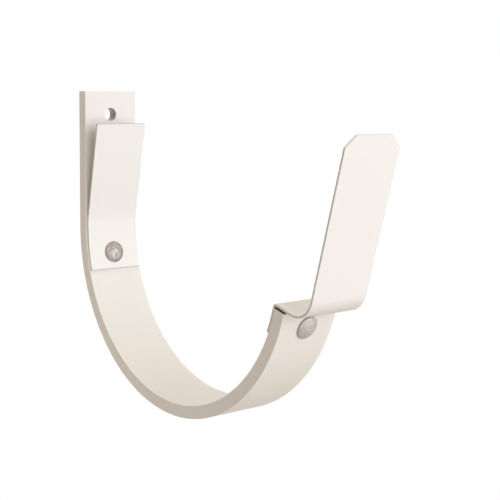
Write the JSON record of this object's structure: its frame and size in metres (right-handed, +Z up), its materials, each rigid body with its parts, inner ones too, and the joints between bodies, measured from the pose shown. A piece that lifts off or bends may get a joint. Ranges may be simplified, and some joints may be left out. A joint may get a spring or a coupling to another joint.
{
  "type": "half-round gutter bracket",
  "caption": "Flat steel strap bent to a half-round hook with a drilled wall plate, and a riveted bendable sheet clip at the back and at the front edge.",
  "frame": {"origin": "centre of the fixing hole, on the plate's face against the wall", "axes": "+X out from the wall along the fixing hole, +Y along the gutter, +Z up"},
  "size_m": [0.1623, 0.025, 0.1247],
  "materials": {
    "strap_paint": "satin warm white coating",
    "clip_paint": "satin warm white coating",
    "rivet_steel": "dull zinc-plated steel"
  },
  "bodies": {
    "root": {"strap": "strap_paint", "rear_clip": "clip_paint", "front_clip": "clip_paint", "rear_rivet": "rivet_steel", "front_rivet": "rivet_steel"}
  },
  "joints": []
}
